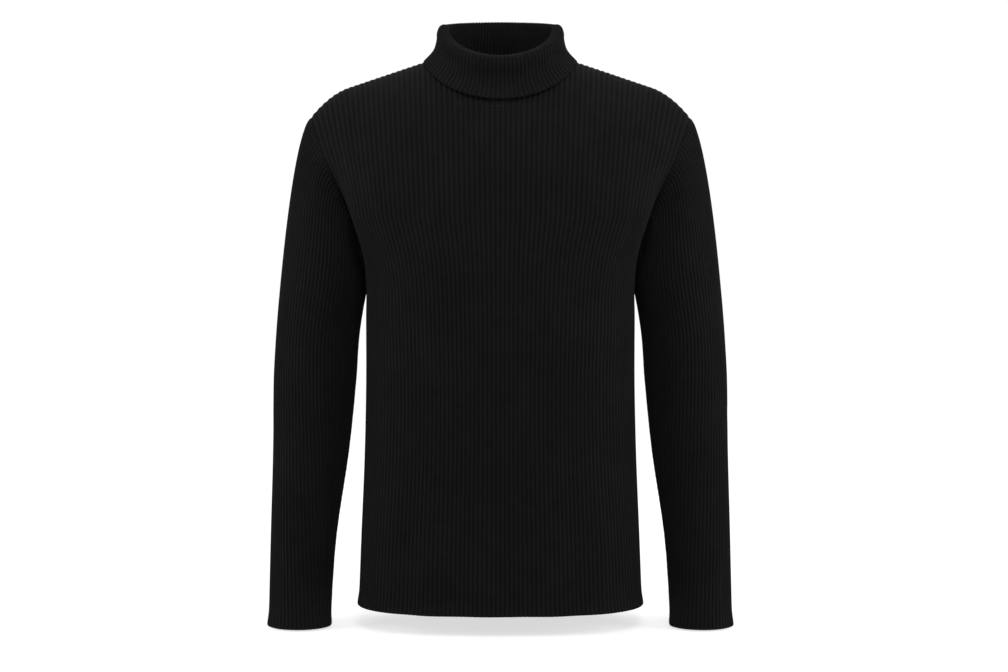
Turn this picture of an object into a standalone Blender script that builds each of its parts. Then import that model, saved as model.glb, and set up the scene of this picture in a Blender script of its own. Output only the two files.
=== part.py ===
"""Ribbed turtleneck sweater, filled out as it is worn, in metres with +Z up.

The front faces -Y. The origin is the middle of the neck at the height of the high
shoulder points, where a wearer carries the garment. Every piece is a thin wall of rib
knit. Its outer face has two points for each rib, one in the valley and one on the
crest, and its inner face is plain and coarser. Ribs are counted from the middle of a
piece, so a rib number is also a place across the cloth: whole numbers are valleys and
halves are crests.
"""

import math
from bisect import bisect_right
from collections import namedtuple
from functools import lru_cache

import bmesh
import bpy
from mathutils import Vector

# Cloth
WALL = 0.0016  # from the inner face to the valleys of the ribs
RIB_HEIGHT = 0.0009  # from valley to crest
SEAM_GAP = 0.0005  # clear space where two pieces are sewn together
BLACK_KNIT = (0.012, 0.012, 0.012, 1.0)
KNIT_ROUGHNESS = 0.9

# Heights of the body, from the high shoulder points at zero
HEM_HEIGHT = -0.6810
UNDERARM_HEIGHT = -0.2465
CHEST_HEIGHT = -0.1965

# Ribs of one body panel, counted from its middle to one side
NECK_RIBS = 12
ARMHOLE_RIBS = 36
SIDE_RIBS = 43

# Shoulders and neck
SHOULDER_HALF_WIDTH = 0.2355
NECK_HALF_WIDTH = SHOULDER_HALF_WIDTH * NECK_RIBS / ARMHOLE_RIBS
SHOULDER_SLOPE = 0.335  # fall of the shoulder seam for each metre outwards
SHOULDER_BEND = 0.188  # distance from the middle where the shoulder rounds over
SHOULDER_ROUNDING = 9.0
NECK_SEAM_SETBACK = 0.008  # how far behind the origin the shoulder seam starts
SLEEVE_SEAM_SETBACK = 0.004  # and how far behind it ends
SHOULDER_SPREAD = 1.4  # how late the ribs fan out towards the shoulder
ARMHOLE_CURVE = 2.5  # how sharply the armhole turns in under the arm
NECK_CURVE = 0.75  # how round the neck seam is; 0.5 would be an ellipse

FRONT, BACK = -1, 1
NECK_TURN = {FRONT: math.radians(40.0), BACK: math.radians(54.0)}
SHOULDER_FULLNESS = {FRONT: 2.0, BACK: 2.4}  # superellipse exponents seen from the side
SECTION_STEPS = 60  # straight steps that stand for half of a panel's curved section

BodySection = namedtuple("BodySection", "height half_width front back squareness")
BODY_SECTIONS = (
    BodySection(HEM_HEIGHT, 0.1768, 0.1100, 0.1100, 2.50),
    BodySection(-0.5950, 0.1735, 0.1100, 0.1120, 2.40),
    BodySection(-0.4950, 0.1692, 0.1070, 0.1020, 2.30),
    BodySection(-0.4050, 0.1670, 0.1060, 0.0930, 2.30),
    BodySection(-0.3200, 0.1668, 0.1110, 0.0950, 2.35),
    BodySection(-0.2850, 0.1668, 0.1140, 0.0970, 2.40),
    BodySection(UNDERARM_HEIGHT, 0.1725, 0.1165, 0.1010, 2.45),
    BodySection(CHEST_HEIGHT, 0.1950, 0.1180, 0.1070, 2.50),
)

# Rows of points up a panel: 0 is the hem, 1 the foot of the armhole, 2 the top seam
BODY_LEVELS = (0.0, 0.33, 0.64, 0.90, 1.0)
YOKE_LEVELS = (1.0, 1.25, 1.47, 1.66, 1.83, 2.0)
BODY_LINING_RIBS = (0, 2, 4, 6, 8, 10, 12, 18, 24, 30, 36, 37, 38.5, 40, 41.5, 43)

SleeveSection = namedtuple("SleeveSection", "height inner outer middle half_depth ribs")
SLEEVE_SECTIONS = (
    SleeveSection(-0.7065, 0.2138, 0.2892, -0.0180, 0.0387, 48),
    SleeveSection(-0.6020, 0.2071, 0.2877, -0.0020, 0.0447, 54),
    SleeveSection(-0.4920, 0.1915, 0.2855, 0.0130, 0.0517, 64),
    SleeveSection(-0.4020, 0.1825, 0.2849, 0.0220, 0.0557, 70),
    SleeveSection(-0.3500, 0.1791, 0.2823, 0.0265, 0.0572, 72),
    SleeveSection(-0.3150, 0.1741, 0.2797, 0.0280, 0.0582, 72),
    SleeveSection(-0.2870, 0.1687, 0.2771, 0.0285, 0.0587, 72),
)
CUFF_HEIGHT = SLEEVE_SECTIONS[0].height
UPPER_ARM_HEIGHT = SLEEVE_SECTIONS[-1].height
CAP_LEVELS = (0.0, 0.26, 0.52, 0.77, 1.0)
SLEEVE_HEIGHTS = (-0.340, -0.430, -0.520, -0.620, CUFF_HEIGHT)
SLEEVE_LINING_POINTS = 24
CAP_LEAVE_TOP = 0.026  # how far the cap carries on along the shoulder
CAP_LEAVE_UNDER = 0.010  # and out from under the arm
CAP_ARRIVE_TOP = 0.090  # how far above the upper arm it already runs down the arm
CAP_ARRIVE_UNDER = 0.018
UNDERARM_WAY = Vector((1.0, 0.0, -0.15)).normalized()
UNDERARM_TURN = 1.6  # how soon along the armhole's curve that way is reached

# The folded collar, from its free edge up the outside, over the roll and down the stand
CollarRing = namedtuple("CollarRing", "side side_z front front_z back back_z bend")
COLLAR_RINGS = (
    CollarRing(0.0950, -0.0030, -0.0955, -0.0528, 0.0860, -0.0100, 1.00),
    CollarRing(0.0826, 0.0085, -0.0920, -0.0338, 0.0822, 0.0140, 0.70),
    CollarRing(0.0784, 0.0212, -0.0870, -0.0148, 0.0786, 0.0350, 0.45),
    CollarRing(0.0770, 0.0348, -0.0830, -0.0053, 0.0755, 0.0472, 0.25),
    CollarRing(0.0708, 0.0422, -0.0775, -0.0018, 0.0700, 0.0507, 0.20),
    CollarRing(0.0656, 0.0375, -0.0720, -0.0053, 0.0645, 0.0462, 0.20),
    CollarRing(0.0690, 0.0162, -0.0770, -0.0258, 0.0660, 0.0242, 0.40),
)
COLLAR_RIBS = 100
COLLAR_LINING_POINTS = 40
NECK_SEAM_LEVEL = len(COLLAR_RINGS)

PROBE = 0.01  # step for slopes, in ribs, levels or turns of a piece


def clear_scene():
    for item in list(bpy.data.objects):
        bpy.data.objects.remove(item)


def smooth(rows, column, key):
    """Value of a table's column at a key of its first column, on a smooth curve."""
    keys = [row[0] for row in rows]
    values = [getattr(row, column) for row in rows]
    last = len(rows) - 1
    low = min(max(bisect_right(keys, key) - 1, 0), last - 1)
    span = keys[low + 1] - keys[low]
    share = min(max((key - keys[low]) / span, 0.0), 1.0)

    def slope(index):
        left, right = max(index - 1, 0), min(index + 1, last)
        return (values[right] - values[left]) / (keys[right] - keys[left])

    return hermite(values[low], values[low + 1], slope(low) * span, slope(low + 1) * span, share)


def hermite(start, end, start_slope, end_slope, share):
    """Cubic from start to end with the given slopes; works on numbers and vectors."""
    square, cube = share**2, share**3
    return (
        start * (2 * cube - 3 * square + 1)
        + end * (3 * square - 2 * cube)
        + start_slope * (cube - 2 * square + share)
        + end_slope * (cube - square)
    )


def rounded_ramp(share, bend):
    """A straight rise from 0 to 1 that starts level; a larger bend levels more of it."""
    return share**2 * math.sqrt((1.0 + bend**2) / (share**2 + bend**2))


def ease(share):
    share = min(max(share, 0.0), 1.0)
    return share * share * (3.0 - 2.0 * share)


def leg_at(points, share):
    """Leg of a row of points that a share of its length falls on, and the part of it."""
    lengths = [0.0]
    for one, two in zip(points, points[1:]):
        lengths.append(lengths[-1] + (two - one).length)
    target = min(max(share, 0.0), 1.0) * lengths[-1]
    low = min(max(bisect_right(lengths, target) - 1, 0), len(points) - 2)
    return low, (target - lengths[low]) / (lengths[low + 1] - lengths[low])


def along(points, share):
    """Point at a share of the length of a row of points."""
    low, part = leg_at(points, share)
    return points[low].lerp(points[low + 1], part)


def normal_of(surface, across, level, first, last):
    """Outward normal of a surface function; rows run from level first to last."""
    low, high = max(level - PROBE, first), min(level + PROBE, last)
    sideways = surface(across + PROBE, level) - surface(across - PROBE, level)
    upwards = surface(across, high) - surface(across, low)
    return sideways.cross(upwards).normalized()


# Body


@lru_cache(maxsize=None)
def quarter_section(side, height):
    """Half of a panel's section at a height, from its middle to its side."""
    half_width = smooth(BODY_SECTIONS, "half_width", height)
    depth = smooth(BODY_SECTIONS, "front" if side == FRONT else "back", height)
    power = 2.0 / smooth(BODY_SECTIONS, "squareness", height)
    turns = [math.radians(90.0) * step / SECTION_STEPS for step in range(SECTION_STEPS + 1)]
    return [
        Vector((half_width * math.sin(turn) ** power, depth * max(math.cos(turn), 0.0) ** power))
        for turn in turns
    ]


def section_point(side, rib, height):
    """Distance from the middle and depth of a rib of a panel at a height."""
    place = along(quarter_section(side, height), abs(rib) / SIDE_RIBS)
    return math.copysign(place.x, rib), place.y


def armhole_height(rib):
    """Height of the foot of the armhole, which is the chest line on inner ribs."""
    inward = min(max((SIDE_RIBS - abs(rib)) / (SIDE_RIBS - ARMHOLE_RIBS), 0.0), 1.0)
    return UNDERARM_HEIGHT + (CHEST_HEIGHT - UNDERARM_HEIGHT) * inward**ARMHOLE_CURVE


def shoulder_height(across):
    """Height of the shoulder's ridge, carried on straight over the neck."""
    outward = abs(across)
    past_bend = max(outward - SHOULDER_BEND, 0.0)
    return -SHOULDER_SLOPE * (outward - NECK_HALF_WIDTH) - SHOULDER_ROUNDING * past_bend**2


def top_turn(side, rib):
    """How far a rib turns over the shoulder: to the ridge, or to the neck seam."""
    if abs(rib) >= NECK_RIBS:
        return math.radians(90.0)
    scoop = (1.0 - (rib / NECK_RIBS) ** 2) ** NECK_CURVE
    return math.radians(90.0) + (NECK_TURN[side] - math.radians(90.0)) * scoop


def body_point(side, rib, level):
    """Point in the valleys; ribs count up towards +X on the front and -X on the back."""
    if level <= 1.0:
        height = HEM_HEIGHT + (armhole_height(rib) - HEM_HEIGHT) * level
        across, depth = section_point(side, rib, height)
        return Vector((-side * across, side * (depth + SEAM_GAP / 2), height))
    across, depth = section_point(side, rib, CHEST_HEIGHT)
    turn = top_turn(side, rib) * (level - 1.0)
    power = 2.0 / SHOULDER_FULLNESS[side]
    rise = math.sin(turn) ** power
    fall = max(math.cos(turn), 0.0) ** power
    top = SHOULDER_HALF_WIDTH * rib / ARMHOLE_RIBS
    across += (top - across) * math.sin(turn) ** SHOULDER_SPREAD
    outward = min(abs(rib) / ARMHOLE_RIBS, 1.0)
    ridge = NECK_SEAM_SETBACK + (SLEEVE_SEAM_SETBACK - NECK_SEAM_SETBACK) * outward
    y = ridge + (side * depth - ridge) * fall + side * SEAM_GAP / 2
    z = CHEST_HEIGHT + (shoulder_height(top) - CHEST_HEIGHT) * rise
    return Vector((-side * across, y, z))


def body_normal(side, rib, level):
    def surface(across, row):
        return body_point(side, min(max(across, -SIDE_RIBS), SIDE_RIBS), row)

    first, last = (0.0, 1.0) if level <= 1.0 else (1.0, 2.0)
    return normal_of(surface, rib, level, first, last)


def ribs_between(low, high):
    """Rib numbers from low to high with the crests between them."""
    return [step / 2 for step in range(round(2 * low), round(2 * high) + 1)]


def is_crest(rib):
    return abs(rib - round(rib)) > 0.25


# Walls


class Wall:
    """Mesh of one piece: rows of (place, vertex), stitched into a closed wall."""

    def __init__(self):
        self.mesh = bmesh.new()

    def row(self, places, points):
        return [(place, self.mesh.verts.new(point)) for place, point in zip(places, points)]

    def stitch(self, lower, upper):
        """Triangles between two rows that run the same way, matched by their places."""
        low, high = 0, 0
        while low < len(lower) - 1 or high < len(upper) - 1:
            next_low = lower[low + 1][0] if low < len(lower) - 1 else math.inf
            next_high = upper[high + 1][0] if high < len(upper) - 1 else math.inf
            corners = [lower[low][1], upper[high][1]]
            if next_low <= next_high:
                low += 1
                corners.insert(1, lower[low][1])
            else:
                high += 1
                corners.insert(1, upper[high][1])
            self.mesh.faces.new(corners)

    def finish(self, name, collection):
        bmesh.ops.recalc_face_normals(self.mesh, faces=self.mesh.faces)
        data = bpy.data.meshes.new(name)
        self.mesh.to_mesh(data)
        self.mesh.free()
        data.shade_smooth()
        data.set_sharp_from_angle(angle=math.radians(60.0))
        data.materials.append(knit_material(name))
        piece = bpy.data.objects.new(name, data)
        collection.objects.link(piece)
        return piece


def knit_material(name):
    material = bpy.data.materials.new(name + "_knit")
    material.use_nodes = True
    shader = material.node_tree.nodes["Principled BSDF"]
    shader.inputs["Base Color"].default_value = BLACK_KNIT
    shader.inputs["Roughness"].default_value = KNIT_ROUGHNESS
    shader.inputs["Metallic"].default_value = 0.0
    return material


def between(row, low, high):
    return [item for item in row if low <= item[0] <= high]


def make_panel(name, side, collection):
    """Front or back: a wall from the hem to the armholes, shoulders and neck."""
    wall = Wall()

    def outer(rib, level):
        point = body_point(side, rib, level)
        seam = level == 2.0 or (level == 1.0 and abs(rib) > ARMHOLE_RIBS)
        if is_crest(rib) and not seam:
            point += body_normal(side, rib, level) * RIB_HEIGHT
        return point

    def inner(rib, level):
        return body_point(side, rib, level) - body_normal(side, rib, level) * WALL

    lining_ribs = sorted({-rib for rib in BODY_LINING_RIBS} | set(BODY_LINING_RIBS))
    faces = {}
    for face, place, ribs in (
        ("outer", outer, ribs_between(-SIDE_RIBS, SIDE_RIBS)),
        ("inner", inner, lining_ribs),
    ):
        rows = {}
        for level in BODY_LEVELS + YOKE_LEVELS[1:]:
            limit = SIDE_RIBS if level <= 1.0 else ARMHOLE_RIBS
            kept = [rib for rib in ribs if abs(rib) <= limit]
            rows[level] = wall.row(kept, [place(rib, level) for rib in kept])
        faces[face] = rows
    for face, rows in faces.items():
        for levels in (BODY_LEVELS, YOKE_LEVELS):
            for low, high in zip(levels, levels[1:]):
                limit = SIDE_RIBS if high <= 1.0 else ARMHOLE_RIBS
                pair = [between(rows[low], -limit, limit), between(rows[high], -limit, limit)]
                if face == "inner":
                    pair.reverse()
                wall.stitch(*pair)

    outside, inside = faces["outer"], faces["inner"]
    wall.stitch(inside[0.0], outside[0.0])
    wall.stitch(outside[2.0], inside[2.0])
    for low, high in ((-SIDE_RIBS, -ARMHOLE_RIBS), (ARMHOLE_RIBS, SIDE_RIBS)):
        wall.stitch(between(outside[1.0], low, high), between(inside[1.0], low, high))
    for levels, rib in ((BODY_LEVELS, SIDE_RIBS), (YOKE_LEVELS, ARMHOLE_RIBS)):
        for end in (-rib, rib):
            columns = []
            for rows in (outside, inside):
                columns.append([(level, dict(rows[level])[end]) for level in levels])
            if end > 0:
                columns.reverse()
            wall.stitch(*columns)
    return wall.finish(name, collection)


# Sleeves


@lru_cache(maxsize=None)
def armhole_edge(side):
    """Corner points of a panel's armhole at +X from the shoulder down, with the way on.

    The way on from the edge follows the cloth at the shoulder and turns straight
    outwards under the arm, where body and sleeve fold against each other.
    """
    stations = [(ARMHOLE_RIBS, level) for level in reversed(YOKE_LEVELS)]
    stations += [(rib, 1.0) for rib in ribs_between(ARMHOLE_RIBS + 0.5, SIDE_RIBS)]
    stations = [(-side * rib, level) for rib, level in stations]
    points = [body_point(side, rib, level) for rib, level in stations]
    ways = []
    for index, (rib, level) in enumerate(stations):
        before, after = max(index - 1, 0), min(index + 1, len(points) - 1)
        tangent = (points[after] - points[before]).normalized()
        way = body_normal(side, rib, level).cross(tangent) * -side
        fold = ease((abs(rib) - ARMHOLE_RIBS) / (SIDE_RIBS - ARMHOLE_RIBS) * UNDERARM_TURN)
        ways.append(way.normalized().lerp(UNDERARM_WAY, fold).normalized())
    return points, ways


def armhole_start(turn):
    """Start of the sleeve at a turn round the arm, and its direction there."""
    points, ways = armhole_edge(FRONT if turn >= 0.0 else BACK)
    low, part = leg_at(points, abs(turn) * 2.0)
    way = ways[low].lerp(ways[low + 1], part).normalized()
    return points[low].lerp(points[low + 1], part) + way * SEAM_GAP, way


def sleeve_ring(turn, height):
    """Point round the arm: turn 0 is outside, 0.25 in front, 0.5 against the body."""
    inner = smooth(SLEEVE_SECTIONS, "inner", height)
    outer = smooth(SLEEVE_SECTIONS, "outer", height)
    middle = smooth(SLEEVE_SECTIONS, "middle", height)
    half_depth = smooth(SLEEVE_SECTIONS, "half_depth", height)
    angle = math.tau * turn
    across = (inner + outer) / 2 + (outer - inner) / 2 * math.cos(angle)
    return Vector((across, middle - half_depth * math.sin(angle), height))


@lru_cache(maxsize=None)
def cap_curve(turn):
    """Ends and slopes of one line of the sleeve's cap, from the armhole to the arm.

    A cubic's slope is three times the length that it carries straight on.
    """
    start, way = armhole_start(turn)
    end = sleeve_ring(turn, UPPER_ARM_HEIGHT)
    onward = sleeve_ring(turn, UPPER_ARM_HEIGHT - PROBE) - end
    under = ease(abs(turn) * 2.0) ** 2
    leave = CAP_LEAVE_TOP + (CAP_LEAVE_UNDER - CAP_LEAVE_TOP) * under
    arrive = CAP_ARRIVE_TOP + (CAP_ARRIVE_UNDER - CAP_ARRIVE_TOP) * under
    return start, end, way * leave * 3.0, onward.normalized() * arrive * 3.0


def sleeve_point(turn, level):
    """Point in the valleys of the +X sleeve: level 0 is the armhole, 2 the cuff."""
    turn = (turn + 0.5) % 1.0 - 0.5 if abs(turn) > 0.5 else turn
    if level > 1.0:
        height = UPPER_ARM_HEIGHT + (CUFF_HEIGHT - UPPER_ARM_HEIGHT) * (level - 1.0)
        return sleeve_ring(turn, height)
    start, end, leaving, arriving = cap_curve(round(turn, 9))
    return hermite(start, end, leaving, arriving, level)


def sleeve_level(height):
    return 1.0 + (height - UPPER_ARM_HEIGHT) / (CUFF_HEIGHT - UPPER_ARM_HEIGHT)


def sleeve_normal(turn, level):
    low, high = (0.0, 1.0) if level <= 1.0 else (1.0, 2.0)
    return normal_of(sleeve_point, turn, level, low, high)


def make_sleeve(name, way, collection):
    """A tube from the armhole to the cuff; ribs run out at the seam under the arm."""
    wall = Wall()
    levels = list(CAP_LEVELS) + [sleeve_level(height) for height in SLEEVE_HEIGHTS]
    mirror = Vector((way, 1.0, 1.0))

    def closed_row(places, points):
        row = wall.row(places[:-1], points[:-1])
        return row + [(places[-1], row[0][1])]

    outside, inside = [], []
    for level in levels:
        height = UPPER_ARM_HEIGHT + (CUFF_HEIGHT - UPPER_ARM_HEIGHT) * max(level - 1.0, 0.0)
        half = round(smooth(SLEEVE_SECTIONS, "ribs", height) / 2)
        ribs = ribs_between(-half, half)
        points = []
        for rib in ribs:
            turn = rib / (2 * half)
            point = sleeve_point(turn, level)
            if is_crest(rib) and level > 0.0:
                point = point + sleeve_normal(turn, level) * RIB_HEIGHT
            points.append(point * mirror)
        outside.append(closed_row(ribs, points))
        turns = [step / SLEEVE_LINING_POINTS for step in range(SLEEVE_LINING_POINTS + 1)]
        turns = [turn - 0.5 for turn in turns]
        points = [
            (sleeve_point(turn, level) - sleeve_normal(turn, level) * WALL) * mirror
            for turn in turns
        ]
        inside.append(closed_row([turn * 2 * half for turn in turns], points))
    for rows in (outside, inside):
        for upper, lower in zip(rows, rows[1:]):
            wall.stitch(upper, lower)
    wall.stitch(outside[0], inside[0])
    wall.stitch(outside[-1], inside[-1])
    return wall.finish(name, collection)


# Collar


@lru_cache(maxsize=None)
def neck_edge(side):
    """Corner points of a panel's neck seam, from its middle to the +X shoulder."""
    ribs = ribs_between(0, NECK_RIBS)
    return [body_point(side, -side * rib, 2.0) for rib in ribs]


def collar_ring(angle, index):
    """Point of one ring of the collar; angle 0 is in front and a quarter is +X."""
    angle = (angle + math.pi) % math.tau - math.pi
    if index < NECK_SEAM_LEVEL:
        ring = COLLAR_RINGS[index]
        middle = (ring.front + ring.back) / 2
        ahead = math.cos(angle)
        end, end_z = (ring.front, ring.front_z) if ahead > 0 else (ring.back, ring.back_z)
        y = middle + (end - middle) * abs(ahead)
        z = ring.side_z + (end_z - ring.side_z) * rounded_ramp(abs(ahead), ring.bend)
        return Vector((ring.side * math.sin(angle), y, z))
    quarters = abs(angle) / math.radians(90.0)
    if quarters <= 1.0:
        point = along(neck_edge(FRONT), quarters)
    else:
        point = along(neck_edge(BACK), 2.0 - quarters)
    point = Vector((math.copysign(point.x, angle), point.y, point.z))
    above = collar_ring(angle, NECK_SEAM_LEVEL - 1)
    return point + (above - point).normalized() * SEAM_GAP


def collar_point(turn, level):
    """Point in the valleys of the collar, smooth over its rings from edge to neck."""
    angle = math.tau * turn
    low = min(int(level), NECK_SEAM_LEVEL - 1)
    ends = [max(low - 1, 0), low, low + 1, min(low + 2, NECK_SEAM_LEVEL)]
    before, start, end, after = (collar_ring(angle, index) for index in ends)
    start_slope = (end - before) / (ends[2] - ends[0])
    end_slope = (after - start) / (ends[3] - ends[1])
    return hermite(start, end, start_slope, end_slope, level - low)


def collar_normal(turn, level):
    return normal_of(collar_point, turn, level, 0.0, float(NECK_SEAM_LEVEL))


def make_collar(name, collection):
    """A tube of rib folded over: turn-down outside, stand sewn to the neck inside."""
    wall = Wall()
    outside, inside = [], []
    for level in range(NECK_SEAM_LEVEL + 1):
        for rows, count in ((outside, 2 * COLLAR_RIBS), (inside, COLLAR_LINING_POINTS)):
            turns = [step / count - 0.5 for step in range(count)]
            points = []
            for step, turn in enumerate(turns):
                point = collar_point(turn, level)
                if rows is inside:
                    point = point - collar_normal(turn, level) * WALL
                elif step % 2 and level < NECK_SEAM_LEVEL:
                    point = point + collar_normal(turn, level) * RIB_HEIGHT
                points.append(point)
            row = wall.row(turns, points)
            rows.append(row + [(0.5, row[0][1])])
    for rows in (outside, inside):
        for lower, upper in zip(rows, rows[1:]):
            wall.stitch(lower, upper)
    wall.stitch(inside[0], outside[0])
    wall.stitch(outside[-1], inside[-1])
    return wall.finish(name, collection)


def build():
    clear_scene()
    collection = bpy.data.collections.new("turtleneck_sweater")
    bpy.context.scene.collection.children.link(collection)
    make_panel("front", FRONT, collection)
    make_panel("back", BACK, collection)
    make_sleeve("sleeve_left", 1, collection)
    make_sleeve("sleeve_right", -1, collection)
    make_collar("collar", collection)


build()
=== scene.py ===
"""The looks of a ribbed turtleneck sweater, filled out as it is worn, in metres with +Z up.

The front faces -Y. The origin is the middle of the neck at the height of the high shoulder
points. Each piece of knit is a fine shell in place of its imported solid, on the same
sections and cut lines. The crease where a sleeve folds against the chest, the collar's soft
curve, the folds, the seams and the stitches are only here. A grid is an array of rows of
points. Ribs are counted from the middle of a piece, so a rib number is also a place across
the cloth: whole numbers are valleys and halves are crests.
"""

import math
from collections import namedtuple

import bmesh
import bpy
import numpy as np
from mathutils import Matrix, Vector


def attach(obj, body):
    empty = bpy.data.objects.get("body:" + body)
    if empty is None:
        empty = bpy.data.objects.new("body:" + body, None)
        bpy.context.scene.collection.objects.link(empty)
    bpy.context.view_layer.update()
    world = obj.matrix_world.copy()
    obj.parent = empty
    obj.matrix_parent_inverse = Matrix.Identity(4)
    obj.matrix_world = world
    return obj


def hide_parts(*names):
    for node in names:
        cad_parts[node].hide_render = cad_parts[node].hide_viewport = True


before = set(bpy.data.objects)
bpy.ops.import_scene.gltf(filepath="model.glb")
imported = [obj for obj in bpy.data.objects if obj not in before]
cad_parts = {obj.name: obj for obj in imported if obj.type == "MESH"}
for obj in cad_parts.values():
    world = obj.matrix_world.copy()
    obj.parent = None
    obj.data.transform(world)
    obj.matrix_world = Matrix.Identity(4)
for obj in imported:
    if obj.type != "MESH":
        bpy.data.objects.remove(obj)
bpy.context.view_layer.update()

# Cloth
WALL = 0.0016
COLLAR_WALL = 0.0022
RIB_RELIEF = 0.0011
RIB_FULLNESS = 0.8  # under 1 makes a crest broader than a valley
RIB_UNEVENNESS = 0.12
LINING_RELIEF = 0.0005
SEAM_RELIEF = 0.25  # share of the ribs' height that is left at a seam
SEAM_REACH = 0.009  # how far from a seam the ribs have their full height
EDGE_ROUND = 0.0009  # how far the rounded edge of a hem stands out from the wall
EDGE_RINGS = (0.2, 0.5, 0.8)  # shares of the wall's thickness
SEAM_GAP = 0.0005
SEAM_DIP = 0.0008  # depth of the groove along a seam
SEAM_DIP_WIDTH = 0.0016
RIB_PITCH = 0.0055
COLUMNS_PER_RIB = 8
LINING_STEP = 4  # one lining column for so many outer columns
CLOSE_ROWS = (0.0006, 0.0014, 0.0026, 0.0042)  # extra rows, so far from a seam or an edge

# Heights of the body, from the high shoulder points at zero
HEM_HEIGHT = -0.6810
UNDERARM_HEIGHT = -0.2465
CHEST_HEIGHT = -0.1965

# Ribs of one body panel, counted from its middle to one side
NECK_RIBS = 12
ARMHOLE_RIBS = 36
SIDE_RIBS = 43

# Shoulders and neck
SHOULDER_HALF_WIDTH = 0.2355
NECK_HALF_WIDTH = SHOULDER_HALF_WIDTH * NECK_RIBS / ARMHOLE_RIBS
SHOULDER_SLOPE = 0.335
SHOULDER_BEND = 0.188  # distance from the middle where the shoulder starts to round down
SHOULDER_ROUNDING = 9.0
NECK_SEAM_SETBACK = 0.008  # how far behind the middle the shoulder seam is at the neck
SLEEVE_SEAM_SETBACK = 0.004
ARMHOLE_CURVE = 2.5  # powers of the cut lines of the armhole and the neck
NECK_CURVE = 0.75

FRONT, BACK = -1, 1
NECK_TURN = {FRONT: math.radians(40.0), BACK: math.radians(54.0)}  # 90 is the shoulder's ridge
SHOULDER_FULLNESS = {FRONT: 2.0, BACK: 2.4}  # 2 is an ellipse from the chest to the ridge
SECTION_STEPS = 240

BodySection = namedtuple("BodySection", "height half_width front back squareness")
BODY_SECTIONS = (
    BodySection(HEM_HEIGHT, 0.1768, 0.1100, 0.1100, 2.50),
    BodySection(-0.5950, 0.1735, 0.1100, 0.1120, 2.40),
    BodySection(-0.4950, 0.1692, 0.1070, 0.1020, 2.30),
    BodySection(-0.4050, 0.1670, 0.1060, 0.0930, 2.30),
    BodySection(-0.3200, 0.1668, 0.1110, 0.0950, 2.35),
    BodySection(-0.2850, 0.1668, 0.1140, 0.0970, 2.40),
    BodySection(UNDERARM_HEIGHT, 0.1725, 0.1165, 0.1010, 2.45),
    BodySection(CHEST_HEIGHT, 0.1950, 0.1180, 0.1070, 2.50),
)
BODY_ROWS = 62
BODY_RUN = 0.46  # about how long the cloth is that the rows cover
YOKE_ROWS = 32
YOKE_RUN = 0.22

SleeveSection = namedtuple("SleeveSection", "height inner outer middle half_depth ribs")
SLEEVE_SECTIONS = (
    SleeveSection(-0.7065, 0.2138, 0.2892, -0.0180, 0.0387, 48),
    SleeveSection(-0.6020, 0.2071, 0.2877, -0.0020, 0.0447, 54),
    SleeveSection(-0.4920, 0.1915, 0.2855, 0.0130, 0.0517, 64),
    SleeveSection(-0.4020, 0.1825, 0.2849, 0.0220, 0.0557, 70),
    SleeveSection(-0.3500, 0.1791, 0.2823, 0.0265, 0.0572, 72),
    SleeveSection(-0.3150, 0.1741, 0.2797, 0.0280, 0.0582, 72),
    SleeveSection(-0.2870, 0.1687, 0.2771, 0.0285, 0.0587, 72),
)
CUFF_HEIGHT = SLEEVE_SECTIONS[0].height
UPPER_ARM_HEIGHT = SLEEVE_SECTIONS[-1].height
SLEEVE_COLUMNS = 576
SLEEVE_GIRTH = 0.30  # about, to turn shares of a turn round the arm into metres
CAP_ROWS = 30
CAP_RUN = 0.15
ARM_ROWS = 56
ARM_STEP = 0.01  # the arm's way below the cap is read over so much of it

# The sleeve's cap is a curve from the armhole to the upper arm, with a handle at each end
CAP_LEAVE_TOP = 0.026
CAP_LEAVE_UNDER = 0.004
CAP_ARRIVE_TOP = 0.090
CAP_ARRIVE_UNDER = 0.018
SLOPE_PER_HANDLE = 3
UNDERARM_WAY = (0.6, 0.0, -0.8)  # the sleeve's way out of the armhole, under the arm
UNDERARM_TURN = 1.6

# The armhole is drawn in below the shoulder, where the sleeve folds against the chest
TUCK_DEPTH = 0.022
TUCK_INWARD = 0.004
TUCK_WIDTH = 0.012
TUCK_RUN = 0.4  # it fades more slowly below the armhole than beside it
TUCK_START = 1.42  # level of the yoke where it starts, and how soon it is full
TUCK_RISE = 0.38
TUCK_WAY = (1.0, 0.10, -0.35)  # the sleeve's way out of it; its y is forwards on the front

# The folded collar, from its free edge up the outside, over the roll and down the stand.
# A ring leaves the height of its sides for those of its front and back: with a bend of 0
# in a sharp turn, and with more in a broader one.
CollarRing = namedtuple("CollarRing", "side side_z front front_z back back_z bend")
COLLAR_RINGS = (
    CollarRing(0.0945, -0.0050, -0.0955, -0.0528, 0.0818, -0.0110, 0.60),
    CollarRing(0.0826, 0.0085, -0.0865, -0.0395, 0.0800, 0.0130, 0.60),
    CollarRing(0.0784, 0.0212, -0.0836, -0.0270, 0.0775, 0.0320, 0.45),
    CollarRing(0.0778, 0.0300, -0.0888, -0.0135, 0.0770, 0.0400, 0.30),
    CollarRing(0.0752, 0.0372, -0.0878, -0.0050, 0.0745, 0.0460, 0.22),
    CollarRing(0.0704, 0.0403, -0.0800, -0.0018, 0.0695, 0.0478, 0.20),
    CollarRing(0.0656, 0.0365, -0.0720, -0.0053, 0.0645, 0.0446, 0.20),
    CollarRing(0.0715, 0.0105, -0.0775, -0.0380, 0.0690, 0.0070, 1.00),
)
COLLAR_ROWS = (8, 8, 7, 5, 5, 6, 9, 5)  # rows from each ring to the next, the last to the neck
COLLAR_RIBS = 100
COLLAR_COLUMNS = COLLAR_RIBS * COLUMNS_PER_RIB
COLLAR_FULLNESS = 0.88  # under 1 squares the rings' plan
COLLAR_EDGE_RUN = 0.02
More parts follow.
